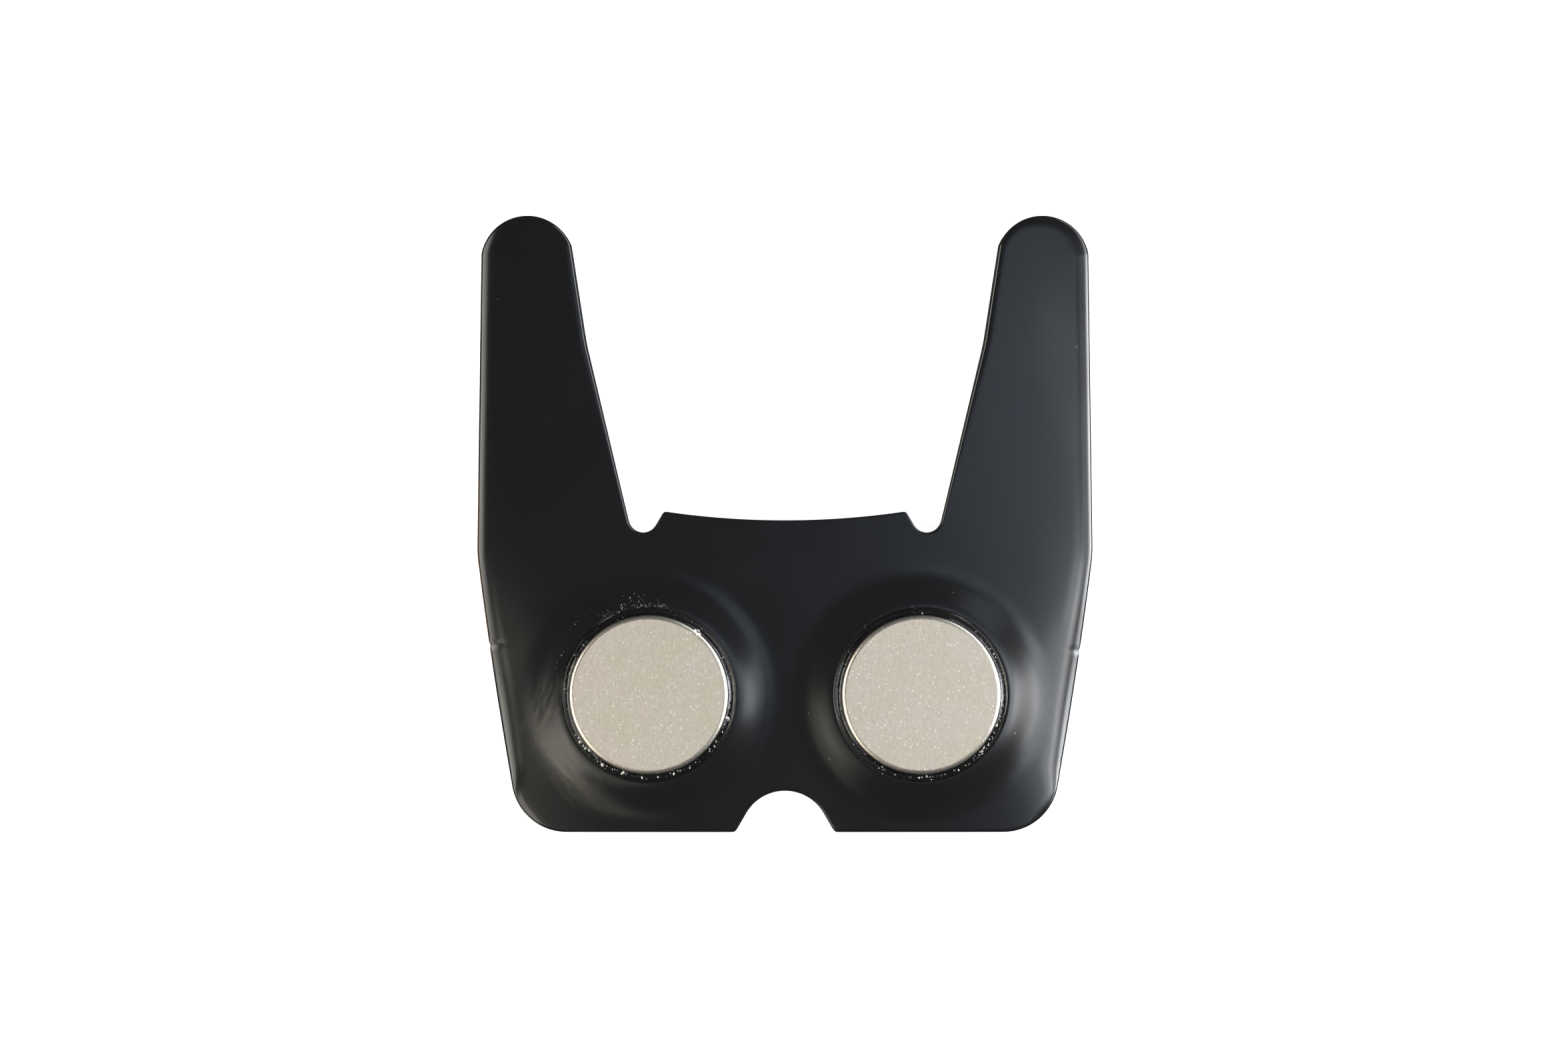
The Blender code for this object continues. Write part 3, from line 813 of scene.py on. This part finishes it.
def adhesiveMaterial():
    # cured black adhesive: glossy and finely wrinkled; its crumbs are brown, grey or pale by their tone
    a = adhesive
    material, tree, shader, place = startMaterial("glossBlackAdhesive")
    wrinkle = useGroup(tree, fineGrain, place, a["wrinkle"])
    dust = useGroup(tree, scatteredSpecks, place, a["dust"])
    tone = addNode(tree, "Attribute", attribute_name="tone").outputs["Fac"]
    brown, grey, pale = (maths(tree, "GREATER_THAN", tone, limit) for limit in a["toneLimits"])
    pale = maths(tree, "MAXIMUM", pale, dust["Mask"])
    color = mixColor(tree, brown, a["color"], a["brownColor"])
    color = mixColor(tree, grey, color, a["greyColor"])
    tree.links.new(mixColor(tree, pale, color, a["paleColor"]), shader["Base Color"])
    rough = maths(tree, "MULTIPLY_ADD", wrinkle["Shade"], a["wrinkleRoughness"], a["roughness"])
    tree.links.new(maths(tree, "MULTIPLY_ADD", pale, a["paleRoughness"], rough), shader["Roughness"])
    addBump(tree, shader, wrinkle["Height"], a["wrinkleDepth"])
    return material


glue = adhesiveMaterial()
for side, seed in (("left", 11), ("right", 23)):
    adhesivePiece(side, seed, glue)
    crumbPiece(side, seed + 40, glue)
print("adhesive made")


# the stage: floor, lights and camera

stage = {
    "floorHalf": 3.0, "floorGap": 0.00001,
    "floorColor": (0.86, 0.86, 0.86, 1.0), "floorRoughness": 0.9, "floorSpecular": 0.1,
    "glowColor": (1.0, 1.0, 1.0, 1.0), "floorGlow": 0.92, "glowStart": 0.03, "glowRadius": 0.16,
    "worldDim": (0.115, 0.115, 0.125, 1.0), "worldPale": (1.0, 1.0, 1.0, 1.0), "worldStrength": 1.0,
    "lens": 100.0, "sensor": 36.0, "clip": (0.01, 10.0),
    "fieldWidth": 0.0986, "aim": (-0.00006, 0.00008),
}

# name: direction from the object in degrees (round from +X, up from the floor),
# distance and size in metres, colour, radiance
softboxes = {
    "rightCore": (-2, 18, 0.55, (0.15, 0.29), (0.97, 0.98, 1.0), 11.0),
    "rightEdge": (0, 5, 0.56, (0.12, 0.08), (1.0, 1.0, 1.0), 22.0),
    "rightWide": (4, 18, 0.60, (0.62, 0.30), (0.90, 0.95, 1.0), 5.0),
    "rightFar": (46, 14, 0.60, (0.34, 0.28), (0.90, 0.95, 1.0), 3.0),
    "rightTall": (-3, 46, 0.60, (0.12, 0.20), (0.90, 0.95, 1.0), 2.5),
    "rightTop": (0, 65, 0.60, (0.10, 0.16), (0.84, 0.93, 1.0), 0.9),
    "rightHigh": (-17, 53, 0.10, (0.022, 0.034), (0.92, 0.96, 1.0), 3.3),
    "rightNear": (-17, 40.4, 0.07, (0.016, 0.016), (1.0, 0.98, 0.96), 3.0),
    "rightMid": (-12, 60, 0.14, (0.040, 0.060), (0.80, 0.91, 1.0), 0.8),
    "rightFill": (20.6, 52.5, 0.054, (0.014, 0.014), (0.80, 0.91, 1.0), 0.7),
    "rightSky": (14, 79, 0.30, (0.075, 0.070), (0.66, 0.82, 1.0), 0.95),
    "leftWide": (195, 19, 0.60, (0.80, 0.24), (1.0, 0.97, 0.87), 2.7),
    "leftFar": (172, 30, 0.60, (0.36, 0.26), (1.0, 0.97, 0.88), 3.2),
    "leftHigh": (213, 44.6, 0.125, (0.044, 0.050), (1.0, 0.96, 0.83), 2.9),
    "leftMid": (224, 59, 0.10, (0.044, 0.032), (1.0, 0.95, 0.76), 0.7),
}


def addSoftbox(name, around, up, distance, size, color, radiance):
    # a rectangular area light that faces the object; its power gives the radiance asked for
    light = bpy.data.lights.new(name, "AREA")
    light.shape = "RECTANGLE"
    light.size, light.size_y = size
    light.color = color
    light.energy = radiance * 4 * size[0] * size[1]
    lamp = bpy.data.objects.new(name, light)
    around, up = np.radians(around), np.radians(up)
    toLamp = Vector((np.cos(around) * np.cos(up), np.sin(around) * np.cos(up), np.sin(up)))
    lamp.location = toLamp * distance
    lamp.rotation_euler = toLamp.to_track_quat("Z", "Y").to_euler()
    lamp.visible_camera = False
    bpy.context.scene.collection.objects.link(lamp)


def addWorld():
    # pale to the camera, dim to everything else, so that the paint reflects a dark room
    world = bpy.data.worlds.new("studioWorld")
    world.use_nodes = True
    tree = world.node_tree
    tree.nodes.clear()
    dim, pale = (
        addNode(tree, "Background", {"Color": color, "Strength": stage["worldStrength"]}).outputs[0]
        for color in (stage["worldDim"], stage["worldPale"])
    )
    seen = addNode(tree, "LightPath").outputs["Is Camera Ray"]
    mixed = addNode(tree, "MixShader", {0: seen, 1: dim, 2: pale}).outputs[0]
    addNode(tree, "OutputWorld", {"Surface": mixed})
    bpy.context.scene.world = world


def addFloor():
    # white floor: lit, with a glow that grows outwards so that it runs into the white background
    s = stage
    half, level = s["floorHalf"], cadLow[2] - s["floorGap"]
    mesh = bpy.data.meshes.new("floor")
    corners = [(-half, -half, level), (half, -half, level), (half, half, level), (-half, half, level)]
    mesh.from_pydata(corners, [], [(0, 1, 2, 3)])
    material = bpy.data.materials.new("paleFloor")
    material.use_nodes = True
    tree = material.node_tree
    shader = tree.nodes["Principled BSDF"].inputs
    shader["Base Color"].default_value = s["floorColor"]
    shader["Roughness"].default_value = s["floorRoughness"]
    shader["Specular IOR Level"].default_value = s["floorSpecular"]
    shader["Emission Color"].default_value = s["glowColor"]
    place = addNode(tree, "TexCoord").outputs["Object"]
    away = addNode(tree, "VectorMath", {0: place}, operation="LENGTH").outputs["Value"]
    glow = remap(tree, away, s["glowStart"], s["glowRadius"], s["floorGlow"], 1.0)
    tree.links.new(glow, shader["Emission Strength"])
    mesh.materials.append(material)
    floor = bpy.data.objects.new("floor", mesh)
    floor.visible_glossy = False
    bpy.context.scene.collection.objects.link(floor)


def addCamera():
    # straight above the tool, looking down, prongs to the top of the picture
    data = bpy.data.cameras.new("camera")
    data.lens = stage["lens"]
    data.sensor_width = stage["sensor"]
    camera = bpy.data.objects.new("camera", data)
    distance = stage["fieldWidth"] * stage["lens"] / stage["sensor"]
    camera.location = (*stage["aim"], plate["sheet"] * mm + distance)
    data.clip_start, data.clip_end = stage["clip"]
    bpy.context.scene.collection.objects.link(camera)
    bpy.context.scene.camera = camera


for name, values in softboxes.items():
    addSoftbox(name, *values)
addWorld()
addFloor()
addCamera()
bpy.context.scene.view_settings.view_transform = "Standard"
print("stage set")
